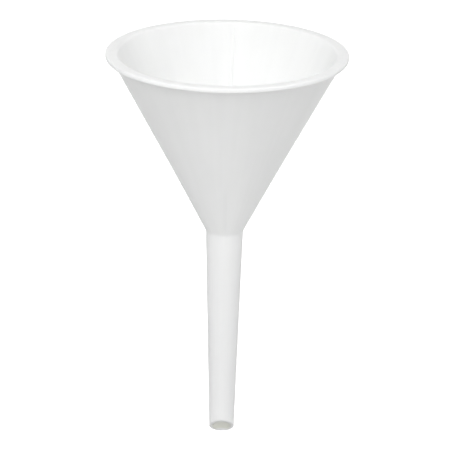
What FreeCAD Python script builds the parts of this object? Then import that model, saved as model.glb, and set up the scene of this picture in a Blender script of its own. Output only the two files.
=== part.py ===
import FreeCAD, Part
import math
import os

# A laboratory filling funnel: one injection moulding in white polypropylene.
#
# The origin is on the funnel's axis at the throat, where the outside of the bowl meets the
# stem. +Z is up, towards the rim. +Y is the back: the bevelled tip is open towards -Y.
# Lengths are in millimetres and angles in degrees.

# Rim: a flat flange around the top of the bowl.
RIM_RADIUS = 37.5
RIM_THICKNESS = 1.8
RIM_OVERHANG = 2.0        # from the bowl's outside, at the flange's underside, to RIM_RADIUS
RIM_LAND = 1.2            # height of the flange's upright edge, above its taper
RIM_TAPER = 0.6           # how much smaller the flange is at its underside
RIM_TOP_EDGE = 0.5        # rounding of the flange's outer top edge
RIM_LAND_EDGE = 0.4       # rounding between the upright edge and the taper
RIM_LOWER_EDGE = 0.3      # rounding of the flange's outer lower edge
RIM_INNER_EDGE = 1.2      # rounding where the flange's top turns down into the bowl
RIM_ROOT_FILLET = 0.5     # fillet between the flange's underside and the bowl

# Bowl: a cone whose wall gets thinner towards the throat, measured square to its outside.
# Its outside is very slightly hollow, with its knee partway up.
BOWL_HEIGHT = 57.9        # throat to the rim's top face
BOWL_HOLLOW = 0.22        # how far the knee lies inside a straight cone
BOWL_KNEE_HEIGHT = 20.0
BOWL_KNEE_CURVE = 1500.0  # radius of the gentle curve that rounds the knee
BOWL_WALL_TOP = 2.3
BOWL_WALL_THROAT = 1.6
THROAT_OUTER_FILLET = 3.0
THROAT_INNER_EDGE = 1.0   # rounding where the bowl's inside turns down into the bore

# Stem: a slightly tapered tube with its tip cut off at a slant.
STEM_LENGTH = 70.2        # throat to the longest point of the tip, which is at the back, unrounded
STEM_TOP_RADIUS = 5.85
STEM_TIP_RADIUS = 3.85
STEM_WALL_TOP = 1.5
STEM_WALL_TIP = 1.0
TIP_BEVEL = 42.0          # angle between the cut and a square cut
TIP_EDGE = 0.2            # rounding of both edges of the cut

# Rib: a fine raised line down the inside of the bowl, a rounded rod sunk into the wall.
RIB_AZIMUTH = 87.0        # angle about Z, from +X
RIB_RADIUS = 0.6
RIB_HEIGHT = 0.22         # how far it stands out of the wall
RIB_TOP_GAP = 2.2         # from the rim's top face down to the rib's upper end
RIB_THROAT_GAP = 5.0      # from the throat up to the rib's lower end

# Values worked out from the ones above.
BOWL_TOP_RADIUS = RIM_RADIUS - RIM_OVERHANG
FLANGE_UNDERSIDE = BOWL_HEIGHT - RIM_THICKNESS
BOWL_SLOPE = (BOWL_TOP_RADIUS - STEM_TOP_RADIUS) / FLANGE_UNDERSIDE
BOWL_HALF_ANGLE = math.atan(BOWL_SLOPE)


def bowl_outer_radius(z):
    """Radius of the bowl's outside at height z, as a straight cone."""
    return STEM_TOP_RADIUS + z * BOWL_SLOPE


INNER_RIM_RADIUS = bowl_outer_radius(BOWL_HEIGHT) - BOWL_WALL_TOP / math.cos(BOWL_HALF_ANGLE)
INNER_THROAT_RADIUS = bowl_outer_radius(0.0) - BOWL_WALL_THROAT / math.cos(BOWL_HALF_ANGLE)
INNER_SLOPE = (INNER_RIM_RADIUS - INNER_THROAT_RADIUS) / BOWL_HEIGHT

BORE_TOP_RADIUS = STEM_TOP_RADIUS - STEM_WALL_TOP
BORE_TIP_RADIUS = STEM_TIP_RADIUS - STEM_WALL_TIP
BORE_SLOPE = (BORE_TOP_RADIUS - BORE_TIP_RADIUS) / STEM_LENGTH

# Height at which the bowl's inside meets the bore.
BORE_MOUTH = (BORE_TOP_RADIUS - INNER_THROAT_RADIUS) / (INNER_SLOPE - BORE_SLOPE)


def bowl_inner_radius(z):
    """Radius of the bowl's inside at height z."""
    return INNER_THROAT_RADIUS + z * INNER_SLOPE


def rounded_outline(corners):
    """Closed wire in the XZ plane through (radius, height, rounding) corners."""
    count = len(corners)
    points = [FreeCAD.Vector(radius, 0, height) for radius, height, _ in corners]
    edges = []
    arcs = []
    for i in range(count):
        corner = points[i]
        back = (points[i - 1] - corner).normalize()
        ahead = (points[(i + 1) % count] - corner).normalize()
        rounding = corners[i][2]
        if rounding == 0:
            arcs.append((corner, None, corner))
            continue
        half_angle = back.getAngle(ahead) / 2
        reach = rounding / math.tan(half_angle)
        middle = (back + ahead).normalize()
        depth = rounding / math.sin(half_angle) - rounding
        arcs.append((corner + back * reach, corner + middle * depth, corner + ahead * reach))
    for i in range(count):
        start, middle, end = arcs[i]
        if middle is not None:
            edges.append(Part.Arc(start, middle, end).toShape())
        following = arcs[(i + 1) % count][0]
        edges.append(Part.LineSegment(end, following).toShape())
    return Part.Wire(edges)


def turned_body():
    """Rim, bowl and stem as one turned solid, with the stem's tip still square."""
    corners = [
        (STEM_TIP_RADIUS, -STEM_LENGTH, 0),
        (STEM_TOP_RADIUS, 0, THROAT_OUTER_FILLET),
        (bowl_outer_radius(BOWL_KNEE_HEIGHT) - BOWL_HOLLOW, BOWL_KNEE_HEIGHT, BOWL_KNEE_CURVE),
        (BOWL_TOP_RADIUS, FLANGE_UNDERSIDE, RIM_ROOT_FILLET),
        (RIM_RADIUS - RIM_TAPER, FLANGE_UNDERSIDE, RIM_LOWER_EDGE),
        (RIM_RADIUS, BOWL_HEIGHT - RIM_LAND, RIM_LAND_EDGE),
        (RIM_RADIUS, BOWL_HEIGHT, RIM_TOP_EDGE),
        (INNER_RIM_RADIUS, BOWL_HEIGHT, RIM_INNER_EDGE),
        (bowl_inner_radius(BORE_MOUTH), BORE_MOUTH, THROAT_INNER_EDGE),
        (BORE_TIP_RADIUS, -STEM_LENGTH, 0),
    ]
    section = Part.Face(rounded_outline(corners))
    return section.revolve(FreeCAD.Vector(0, 0, 0), FreeCAD.Vector(0, 0, 1), 360)


def tip_waste():
    """Prism that is cut off the stem's end, leaving the slanted tip."""
    reach = 3 * STEM_TIP_RADIUS
    rise = math.tan(math.radians(TIP_BEVEL))
    cut_height_back = -STEM_LENGTH - (reach - STEM_TIP_RADIUS) * rise
    cut_height_front = -STEM_LENGTH + (reach + STEM_TIP_RADIUS) * rise
    bottom = cut_height_back - reach
    side = [
        FreeCAD.Vector(-reach, reach, cut_height_back),
        FreeCAD.Vector(-reach, -reach, cut_height_front),
        FreeCAD.Vector(-reach, -reach, bottom),
        FreeCAD.Vector(-reach, reach, bottom),
    ]
    side.append(side[0])
    return Part.Face(Part.makePolygon(side)).extrude(FreeCAD.Vector(2 * reach, 0, 0))


def round_tip(solid):
    """Round the inner and outer edges of the slanted cut."""
    bevel = math.radians(TIP_BEVEL)
    normal = FreeCAD.Vector(0, -math.sin(bevel), -math.cos(bevel))
    cut_faces = []
    for face in solid.Faces:
        flat = isinstance(face.Surface, Part.Plane)
        if flat and face.normalAt(0, 0).getAngle(normal) < 0.001:
            cut_faces.append(face)
    return solid.makeFillet(TIP_EDGE, cut_faces[0].Edges)


def rib():
    """Rod along the bowl's inside, with round ends, that stands out of the wall by RIB_HEIGHT."""
    wall_angle = math.atan(INNER_SLOPE)
    azimuth = math.radians(RIB_AZIMUTH)
    sunk = RIB_RADIUS - RIB_HEIGHT
    ends = []
    for height in (RIB_THROAT_GAP, BOWL_HEIGHT - RIB_TOP_GAP):
        radius = bowl_inner_radius(height) + sunk * math.cos(wall_angle)
        z = height - sunk * math.sin(wall_angle)
        ends.append(FreeCAD.Vector(radius * math.cos(azimuth), radius * math.sin(azimuth), z))
    low, high = ends
    run = high - low
    solid = Part.makeCylinder(RIB_RADIUS, run.Length, low, run)
    for end in ends:
        solid = solid.fuse(Part.makeSphere(RIB_RADIUS, end))
    return solid.removeSplitter()


def make_funnel():
    """The whole moulding."""
    funnel = turned_body().cut(tip_waste())
    funnel = round_tip(funnel)
    return funnel.fuse(rib()).removeSplitter()


os.makedirs("parts", exist_ok=True)
shape = make_funnel().Solids[0]
shape.exportStep("parts/funnel.step")
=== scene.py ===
import math

import bmesh
import bpy
from mathutils import Matrix, Vector


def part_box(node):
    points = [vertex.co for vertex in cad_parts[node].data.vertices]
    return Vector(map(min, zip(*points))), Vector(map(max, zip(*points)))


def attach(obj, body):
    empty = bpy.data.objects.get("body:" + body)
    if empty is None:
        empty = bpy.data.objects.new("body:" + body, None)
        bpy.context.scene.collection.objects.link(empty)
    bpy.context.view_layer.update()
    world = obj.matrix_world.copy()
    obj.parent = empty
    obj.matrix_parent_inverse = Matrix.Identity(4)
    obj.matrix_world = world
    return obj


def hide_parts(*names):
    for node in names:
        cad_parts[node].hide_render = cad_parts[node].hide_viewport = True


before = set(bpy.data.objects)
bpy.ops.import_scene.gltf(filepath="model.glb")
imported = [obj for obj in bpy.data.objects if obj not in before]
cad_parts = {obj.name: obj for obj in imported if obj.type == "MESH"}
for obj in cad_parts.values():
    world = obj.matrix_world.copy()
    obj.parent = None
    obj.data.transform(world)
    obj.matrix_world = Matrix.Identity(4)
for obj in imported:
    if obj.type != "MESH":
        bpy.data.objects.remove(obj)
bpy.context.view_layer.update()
funnel_low, funnel_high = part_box("funnel")

MM = 0.001

# ---- sizes, in metres: overall ones from the frame, the rest as the moulding has them ----
RIM_RADIUS = funnel_high.x
RIM_TOP = funnel_high.z
TIP_END = funnel_low.z
RIM_THICKNESS = 1.8 * MM
RIM_LAND = 1.2 * MM             # height of the flange's upright edge, above its taper
RIM_TAPER = 0.6 * MM            # the flange is this much smaller at its underside
RIM_OVERHANG = 2.0 * MM
RIM_TOP_EDGE = 0.5 * MM         # these roundings are of the flange's corners, from its top down
RIM_INNER_EDGE = 1.2 * MM
RIM_LAND_EDGE = 0.4 * MM
RIM_LOWER_EDGE = 0.3 * MM
RIM_ROOT_FILLET = 0.5 * MM
BOWL_WALL_TOP = 2.3 * MM
BOWL_WALL_THROAT = 1.6 * MM
BOWL_HOLLOW = 0.22 * MM         # how far the knee in the bowl's outside lies inside a straight cone
BOWL_KNEE_HEIGHT = 20.0 * MM
BOWL_KNEE_CURVE = 1500.0 * MM
THROAT_OUTER_FILLET = 3.0 * MM
THROAT_INNER_EDGE = 1.0 * MM
STEM_TOP_RADIUS = 5.85 * MM
STEM_TIP_RADIUS = 3.85 * MM
STEM_WALL_TOP = 1.5 * MM
STEM_WALL_TIP = 1.0 * MM
STEM_LENGTH = 70.2 * MM
TIP_SLOPE = math.tan(math.radians(42.0))
TIP_EDGE = 0.2 * MM

RIB_AZIMUTH = math.radians(87.0)
RIB_HALF_WIDTH = 0.5 * MM
RIB_HEIGHT = 0.22 * MM
RIB_TOP_GAP = 1.8 * MM          # from the rim's top to the rib's upper end
RIB_THROAT_GAP = 4.0 * MM       # from the throat to the rib's lower end

UNDERSIDE = RIM_TOP - RIM_THICKNESS
BOWL_TOP_RADIUS = RIM_RADIUS - RIM_OVERHANG
BOWL_SLOPE = (BOWL_TOP_RADIUS - STEM_TOP_RADIUS) / UNDERSIDE
BOWL_ANGLE = math.atan(BOWL_SLOPE)
BOWL_KNEE_RADIUS = STEM_TOP_RADIUS + BOWL_KNEE_HEIGHT * BOWL_SLOPE - BOWL_HOLLOW
INNER_RIM_RADIUS = STEM_TOP_RADIUS + RIM_TOP * BOWL_SLOPE - BOWL_WALL_TOP / math.cos(BOWL_ANGLE)
INNER_THROAT_RADIUS = STEM_TOP_RADIUS - BOWL_WALL_THROAT / math.cos(BOWL_ANGLE)
INNER_SLOPE = (INNER_RIM_RADIUS - INNER_THROAT_RADIUS) / RIM_TOP
BORE_TOP_RADIUS = STEM_TOP_RADIUS - STEM_WALL_TOP
BORE_TIP_RADIUS = STEM_TIP_RADIUS - STEM_WALL_TIP
STEM_SLOPE = (STEM_TOP_RADIUS - STEM_TIP_RADIUS) / STEM_LENGTH
BORE_SLOPE = (BORE_TOP_RADIUS - BORE_TIP_RADIUS) / STEM_LENGTH
BORE_MOUTH = (BORE_TOP_RADIUS - INNER_THROAT_RADIUS) / (INNER_SLOPE - BORE_SLOPE)
TIP_MIDDLE = -STEM_LENGTH + STEM_TIP_RADIUS * TIP_SLOPE


# ---- the moulding's mesh ----
ARC_STEPS = 6
EVEN_LINES = 216                # lines round the whole mesh, before the finer ones across the rib
FINE_LINES = 28                 # finer lines on each side of the rib
FINE_REACH = math.radians(7.0)
SIDE_EASING = 0.12              # how much a side's points gather towards its ends


def arc_points(before, corner, after, rounding):
    """Points of the arc that rounds a corner of the section, from its first side to its second."""
    back = (before - corner).normalized()
    ahead = (after - corner).normalized()
    half_angle = back.angle(ahead) / 2
    middle = (back + ahead).normalized()
    centre = corner + middle * (rounding / math.sin(half_angle))
    reach = rounding / math.tan(half_angle)
    first = corner + back * reach - centre
    last = corner + ahead * reach - centre
    turn = first.angle(last)
    points = []
    for step in range(ARC_STEPS + 1):
        share = step / ARC_STEPS
        spoke = (first * math.sin((1 - share) * turn) + last * math.sin(share * turn)) / math.sin(turn)
        points.append(centre + spoke)
    return points


def tip_corner(top_radius, slope, slant):
    """Where a wall of the stem meets the slanted cut, in the half-plane whose cut has this slant."""
    z = (TIP_MIDDLE - top_radius * slant) / (1 + slope * slant)
    return Vector((top_radius + z * slope, z))


def section(azimuth):
    """The wall's closed section in the half-plane at this azimuth, as (radius, height) points."""
    slant = math.sin(azimuth) * TIP_SLOPE
    # Each corner has its place, its rounding and the number of pieces in the side that follows it.
    corners = [
        (tip_corner(STEM_TOP_RADIUS, STEM_SLOPE, slant), TIP_EDGE, 30),
        (Vector((STEM_TOP_RADIUS, 0.0)), THROAT_OUTER_FILLET, 12),
        (Vector((BOWL_KNEE_RADIUS, BOWL_KNEE_HEIGHT)), BOWL_KNEE_CURVE, 18),
        (Vector((BOWL_TOP_RADIUS, UNDERSIDE)), RIM_ROOT_FILLET, 3),
        (Vector((RIM_RADIUS - RIM_TAPER, UNDERSIDE)), RIM_LOWER_EDGE, 3),
        (Vector((RIM_RADIUS, RIM_TOP - RIM_LAND)), RIM_LAND_EDGE, 2),
        (Vector((RIM_RADIUS, RIM_TOP)), RIM_TOP_EDGE, 6),
        (Vector((INNER_RIM_RADIUS, RIM_TOP)), RIM_INNER_EDGE, 30),
        (Vector((INNER_THROAT_RADIUS + BORE_MOUTH * INNER_SLOPE, BORE_MOUTH)), THROAT_INNER_EDGE, 30),
        (tip_corner(BORE_TOP_RADIUS, BORE_SLOPE, slant), TIP_EDGE, 3),
    ]
    count = len(corners)
    arcs = []
    for i in range(count):
        before = corners[i - 1][0]
        after = corners[(i + 1) % count][0]
        arcs.append(arc_points(before, corners[i][0], after, corners[i][1]))
    points = []
    for i in range(count):
        points.extend(arcs[i])
        start = arcs[i][-1]
        end = arcs[(i + 1) % count][0]
        pieces = corners[i][2]
        for step in range(1, pieces):
            share = step / pieces
            eased = share - SIDE_EASING * math.sin(2 * math.pi * share)
            points.append(start.lerp(end, eased))
    return points


def azimuths():
    """Azimuths of the mesh's lines, evenly spaced, with finer ones across the rib."""
    even = [2 * math.pi * i / EVEN_LINES for i in range(EVEN_LINES)]
    kept = [a for a in even if abs(a - RIB_AZIMUTH) > FINE_REACH]
    fine = []
    for i in range(-FINE_LINES, FINE_LINES + 1):
        share = i / FINE_LINES
        fine.append(RIB_AZIMUTH + FINE_REACH * share * abs(share))
    return sorted(kept + fine)


def rib_rise(azimuth, radius, height):
    """How far the rib lifts the bowl's inside at a point."""
    across = radius * math.sin(azimuth - RIB_AZIMUTH)
    if math.cos(azimuth - RIB_AZIMUTH) < 0 or abs(across) > RIB_HALF_WIDTH:
        return 0.0
    from_top = (RIM_TOP - RIB_TOP_GAP - height) / (1.0 * MM)
    from_throat = (height - RIB_THROAT_GAP) / (2.0 * MM)
    fullness = max(min(from_top, from_throat, 1.0), 0.0)
    return RIB_HEIGHT * fullness * math.sqrt(1 - (across / RIB_HALF_WIDTH) ** 2)


def moulding():
    """The whole funnel as one closed skin, a section for each line."""
    lines = azimuths()
    mesh = bmesh.new()
    grid = []
    for azimuth in lines:
        row = []
        for point in section(azimuth):
            radius, height = point
            inner = INNER_THROAT_RADIUS + height * INNER_SLOPE
            if abs(radius - inner) < 0.01 * MM:
                rise = rib_rise(azimuth, radius, height)
                radius -= rise * math.cos(BOWL_ANGLE)
                height += rise * math.sin(BOWL_ANGLE)
            row.append(mesh.verts.new((radius * math.cos(azimuth), radius * math.sin(azimuth), height)))
        grid.append(row)
    for i in range(len(grid)):
        here, there = grid[i - 1], grid[i]
        for j in range(len(here)):
            mesh.faces.new((here[j - 1], there[j - 1], there[j], here[j]))
    for face in mesh.faces:
        face.smooth = True
    bmesh.ops.recalc_face_normals(mesh, faces=mesh.faces)
    data = bpy.data.meshes.new("funnel_moulding")
    mesh.to_mesh(data)
    mesh.free()
    piece = bpy.data.objects.new("funnel_moulding", data)
    bpy.context.scene.collection.objects.link(piece)
    return piece


# ---- camera ----
LENS_MM = 255.6
SENSOR_MM = 36.0
CAMERA_DISTANCE = 1.0
CAMERA_ELEVATION = math.radians(19.74)
CAMERA_ROLL = math.radians(0.9)
AIM = Vector((0.00013, 0.0, 0.00165))


def add_camera():
    """The camera looks along +Y and down, and is rolled a little."""
    up = Vector((0.0, math.sin(CAMERA_ELEVATION), math.cos(CAMERA_ELEVATION)))
    right = Vector((1.0, 0.0, 0.0))
    back = Vector((0.0, -math.cos(CAMERA_ELEVATION), math.sin(CAMERA_ELEVATION)))
    place = AIM + back * CAMERA_DISTANCE
    rolled_up = up * math.cos(CAMERA_ROLL) - right * math.sin(CAMERA_ROLL)
    rolled_right = right * math.cos(CAMERA_ROLL) + up * math.sin(CAMERA_ROLL)
    data = bpy.data.cameras.new("camera")
    data.lens = LENS_MM
    data.sensor_width = SENSOR_MM
    data.clip_end = 100.0
    camera = bpy.data.objects.new("camera", data)
    bpy.context.scene.collection.objects.link(camera)
    turn = Matrix((rolled_right, rolled_up, back)).transposed()
    camera.matrix_world = Matrix.Translation(place) @ turn.to_4x4()
    bpy.context.scene.camera = camera


# ---- shader nodes ----
def add_node(tree, kind, inputs, **settings):
    """A node with these settings, whose inputs are set to a value or linked from a socket."""
    node = tree.nodes.new(kind)
    for name, value in settings.items():
        setattr(node, name, value)
    for socket, value in inputs.items():
        if isinstance(value, bpy.types.NodeSocket):
            tree.links.new(value, node.inputs[socket])
        else:
            node.inputs[socket].default_value = value
    return node


def calculate(tree, operation, *values):
    """The result of a math node."""
    node = add_node(tree, "ShaderNodeMath", dict(enumerate(values)), operation=operation)
    return node.outputs[0]


def spread(tree, value, start, end, low, high):
    """Takes a value from the range start to end smoothly to the range low to high."""
    ranges = {"Value": value, "From Min": start, "From Max": end, "To Min": low, "To Max": high}
    node = add_node(tree, "ShaderNodeMapRange", ranges, interpolation_type="SMOOTHSTEP")
    return node.outputs["Result"]


def noise(tree, place, scale, detail):
    """Noise about 0.5, with scale features to each unit of the place."""
    node = add_node(tree, "ShaderNodeTexNoise", {"Vector": place, "Scale": scale, "Detail": detail})
    return node.outputs["Fac"]


def mix_colour(tree, share, first, second):
    """The first colour where share is 0, the second where it is 1."""
    node = tree.nodes.new("ShaderNodeMix")
    node.data_type = "RGBA"
    for socket, value in zip((node.inputs[0], node.inputs[6], node.inputs[7]), (share, first, second)):
        if isinstance(value, bpy.types.NodeSocket):
            tree.links.new(value, socket)
        else:
            socket.default_value = value
    return node.outputs[2]


# ---- light ----
# Directions that the soft studio dome glows from, each with its strength and tightness.
DOME = {
    "ceiling": ((0.0, 0.0, 1.0), 0.79, 2.0),
    "left_wall": ((-1.0, 0.0, 0.0), 0.97, 2.0),
    "right_wall": ((1.0, 0.0, 0.0), 1.18, 2.0),
    "front_wall": ((0.0, -1.0, 0.0), 0.22, 2.0),
    "sweep_behind": ((0.0, 0.94, -0.34), 2.85, 8.0),
    "table_in_front": ((0.0, -0.77, -0.64), 2.25, 8.0),
}


def add_dome():
    """The world's light: a soft glow about each of the dome's directions."""
    world = bpy.data.worlds.new("studio_dome")
    bpy.context.scene.world = world
    world.use_nodes = True
    tree = world.node_tree
    tree.nodes.clear()
    towards = add_node(tree, "ShaderNodeTexCoord", {}).outputs["Generated"]
    total = 0.0
    for direction, strength, tightness in DOME.values():
        pair = {0: towards, 1: direction}
        facing = add_node(tree, "ShaderNodeVectorMath", pair, operation="DOT_PRODUCT").outputs["Value"]
        glow = calculate(tree, "POWER", calculate(tree, "MAXIMUM", facing, 0.0), tightness)
        total = calculate(tree, "MULTIPLY_ADD", glow, strength, total)
    background = add_node(tree, "ShaderNodeBackground", {"Strength": total})
    add_node(tree, "ShaderNodeOutputWorld", {"Surface": background.outputs[0]})


SOFTBOX_DISTANCE = 1.2  # in metres
SOFTBOX_SIZE = 0.8


def add_softbox(name, azimuth, elevation, power):
    """A round soft light at this azimuth (0 is in front, + is to the right) and elevation, in degrees."""
    turn = math.radians(azimuth)
    lift = math.radians(elevation)
    level = math.cos(lift)
    place = Vector((math.sin(turn) * level, -math.cos(turn) * level, math.sin(lift))) * SOFTBOX_DISTANCE
    data = bpy.data.lights.new(name, "AREA")
    data.shape = "DISK"
    data.size = SOFTBOX_SIZE
    data.energy = power
    light = bpy.data.objects.new(name, data)
    bpy.context.scene.collection.objects.link(light)
    light.location = place
    light.rotation_euler = (-place).to_track_quat("-Z", "Y").to_euler()


STAGE_RADIUS = 5.0      # in metres, near enough for every view to reach its backdrop


def add_stage():
    """A pale floor and a backdrop that only the camera sees, so they stay an even white."""
    material = bpy.data.materials.new("stage_white")
    material.use_nodes = True
    shader = material.node_tree.nodes["Principled BSDF"]
    shader.inputs["Base Color"].default_value = (0.9, 0.9, 0.9, 1.0)
    shader.inputs["Emission Color"].default_value = (1.0, 1.0, 1.0, 1.0)
    shader.inputs["Emission Strength"].default_value = 1.0
    floor_place = (0.0, 0.0, TIP_END - 100.0 * MM)
    bpy.ops.mesh.primitive_plane_add(size=2 * STAGE_RADIUS, location=floor_place)
    floor = bpy.context.active_object
    floor.name = "floor"
    bpy.ops.mesh.primitive_uv_sphere_add(segments=64, ring_count=32, radius=STAGE_RADIUS)
    backdrop = bpy.context.active_object
    backdrop.name = "backdrop"
    for piece in (floor, backdrop):
        piece.data.materials.append(material)
        piece.visible_diffuse = False
        piece.visible_glossy = False
        piece.visible_transmission = False
        piece.visible_shadow = False


# ---- material ----
BLACK = (0.0, 0.0, 0.0, 1.0)
WHITE_PLASTIC = (0.915, 0.92, 0.916, 1.0)
# Painted shade for the inside of the stem's bore near the tip.
BORE_PAINTED_SHADE = (0.815, 0.82, 0.76, 1.0)


def level_offset(tree, place):
    """The level vector from the funnel's axis to a place."""
    flattened = {0: place, 1: (1.0, 1.0, 0.0)}
    return add_node(tree, "ShaderNodeVectorMath", flattened, operation="MULTIPLY").outputs[0]


def axis_distance(tree, place):
    """How far a place is from the funnel's axis."""
    offset = {0: level_offset(tree, place)}
    return add_node(tree, "ShaderNodeVectorMath", offset, operation="LENGTH").outputs["Value"]


def flow_lines(tree, place):
    """Noise drawn out along the wall, as the melt ran down the mould from the rim to the tip."""
    offset = {0: level_offset(tree, place)}
    around = add_node(tree, "ShaderNodeVectorMath", offset, operation="NORMALIZE")
    down = add_node(tree, "ShaderNodeVectorMath", {0: place, 1: (0.0, 0.0, 1.6)}, operation="MULTIPLY")
    joined = {0: around.outputs[0], 1: down.outputs[0]}
    along = add_node(tree, "ShaderNodeVectorMath", joined, operation="ADD")
    return noise(tree, along.outputs[0], 11.0, 4.0)


def scratches(tree, place, turn):
    """1 on a few hair scratches that run one way, and 0 between them."""
    spin = {"Vector": place, "Rotation": (0.3, turn, 0.5), "Scale": (5200.0, 160.0, 160.0)}
    stretched = add_node(tree, "ShaderNodeMapping", spin).outputs[0]
    return spread(tree, noise(tree, stretched, 1.0, 1.0), 0.70, 0.76, 0.0, 1.0)


def front_dark_streak(tree, sides):
    """1 on a faint darker streak low on the bowl's front."""
    across = spread(tree, calculate(tree, "ABSOLUTE", sides["X"]), 0.3 * MM, 1.0 * MM, 1.0, 0.0)
    front = spread(tree, sides["Y"], -2.0 * MM, 0.0, 1.0, 0.0)
    lower_end = spread(tree, sides["Z"], 0.0, 4.0 * MM, 0.0, 1.0)
    upper_end = spread(tree, sides["Z"], 14.0 * MM, 22.0 * MM, 1.0, 0.0)
    length = calculate(tree, "MULTIPLY", lower_end, upper_end)
    return calculate(tree, "MULTIPLY", calculate(tree, "MULTIPLY", across, front), length)


def bore_painted_shade(tree, radius, sides):
    """1 on the inside of the stem's tip, where painted shade darkens the bore, fading further up the
    bore.
    """
    reach = calculate(tree, "MULTIPLY_ADD", sides["Z"], -BORE_SLOPE, radius)
    inside = spread(tree, reach, BORE_TOP_RADIUS + 0.02 * MM, BORE_TOP_RADIUS + 0.12 * MM, 1.0, 0.0)
    clear_end = spread(tree, sides["Z"], TIP_END + 1.0 * MM, TIP_END + 1.5 * MM, 0.0, 1.0)
    depth = spread(tree, sides["Z"], TIP_END + 1.5 * MM, TIP_END + 6.0 * MM, 1.0, 0.1)
    return calculate(tree, "MULTIPLY", inside, calculate(tree, "MULTIPLY", clear_end, depth))


def edge_wear(tree, sides, blotches):
    """1 where the rim's top edge and the tip have rubbed on a bench, in patches."""
    rim = spread(tree, sides["Z"], RIM_TOP - 1.2 * MM, RIM_TOP, 0.0, 1.0)
    tip = spread(tree, sides["Z"], TIP_END + 1.0 * MM, TIP_END + 6.0 * MM, 1.0, 0.0)
    patches = spread(tree, blotches, 0.48, 0.62, 0.0, 1.0)
    return calculate(tree, "MULTIPLY", calculate(tree, "MAXIMUM", rim, tip), patches)


def white_polypropylene():
    """Satin white moulded plastic that lets a little light through."""
    material = bpy.data.materials.new("white_polypropylene")
    material.use_nodes = True
    tree = material.node_tree
    shader = tree.nodes["Principled BSDF"]
    place = add_node(tree, "ShaderNodeTexCoord", {}).outputs["Object"]
    sides = add_node(tree, "ShaderNodeSeparateXYZ", {0: place}).outputs
    radius = axis_distance(tree, place)

    cloud = noise(tree, place, 55.0, 3.0)
    blotches = noise(tree, place, 260.0, 4.0)
    flow = flow_lines(tree, place)
    peel = noise(tree, place, 650.0, 2.0)
    grain = noise(tree, place, 3800.0, 2.0)
    wear = edge_wear(tree, sides, blotches)
    lines = calculate(tree, "MAXIMUM", scratches(tree, place, 0.4), scratches(tree, place, 2.1))

    # Colour: an even white with slight clouds and flow marks, a little grey where it is worn, and painted
    # shade inside the stem's tip.
    shade = spread(tree, cloud, 0.3, 0.7, 0.985, 1.0)
    shade = calculate(tree, "MULTIPLY", shade, spread(tree, flow, 0.3, 0.7, 0.985, 1.0))
    shade = calculate(tree, "MULTIPLY", shade, spread(tree, wear, 0.0, 1.0, 1.0, 0.985))
    # A faint darker streak low on the bowl's front.
    shade = calculate(tree, "MULTIPLY", shade, spread(tree, front_dark_streak(tree, sides), 0.0, 1.0, 1.0, 0.975))
    clean = mix_colour(tree, shade, BLACK, WHITE_PLASTIC)
    # Painted shade darkens the inside of the stem's bore near the tip.
    bore_shaded = mix_colour(tree, bore_painted_shade(tree, radius, sides), clean, BORE_PAINTED_SHADE)
    tree.links.new(bore_shaded, shader.inputs["Base Color"])

    # Gloss: satin, patchy at the scale of the mould's texture, duller where it is worn or scratched.
    roughness = spread(tree, blotches, 0.3, 0.7, 0.45, 0.54)
    roughness = calculate(tree, "MULTIPLY_ADD", grain, 0.06, roughness)
    roughness = calculate(tree, "MULTIPLY_ADD", wear, 0.12, roughness)
    roughness = calculate(tree, "MULTIPLY_ADD", lines, 0.10, roughness)
    tree.links.new(roughness, shader.inputs["Roughness"])

    # Relief: heights in metres of the mould's fine texture, its orange peel, flow lines and scratches.
    height = calculate(tree, "MULTIPLY", grain, 0.0015 * MM)
    height = calculate(tree, "MULTIPLY_ADD", peel, 0.008 * MM, height)
    height = calculate(tree, "MULTIPLY_ADD", flow, calculate(tree, "MULTIPLY", radius, 0.0014), height)
    height = calculate(tree, "MULTIPLY_ADD", lines, -0.003 * MM, height)
    relief = add_node(tree, "ShaderNodeBump", {"Height": height, "Strength": 1.0, "Distance": 1.0})
    tree.links.new(relief.outputs["Normal"], shader.inputs["Normal"])

    shader.inputs["Subsurface Weight"].default_value = 0.8
    shader.inputs["Subsurface Radius"].default_value = (1.0, 1.0, 0.98)
    shader.inputs["Subsurface Scale"].default_value = 1.5 * MM
    shader.inputs["IOR"].default_value = 1.49
    return material


add_camera()
add_dome()
add_softbox("key", -17.0, 38.0, 3.84)
add_softbox("high_fill", -9.0, 60.0, 4.2)
add_stage()
piece = moulding()
piece.data.materials.append(white_polypropylene())
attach(piece, "root")
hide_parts("funnel")
bpy.context.scene.view_settings.view_transform = "Standard"
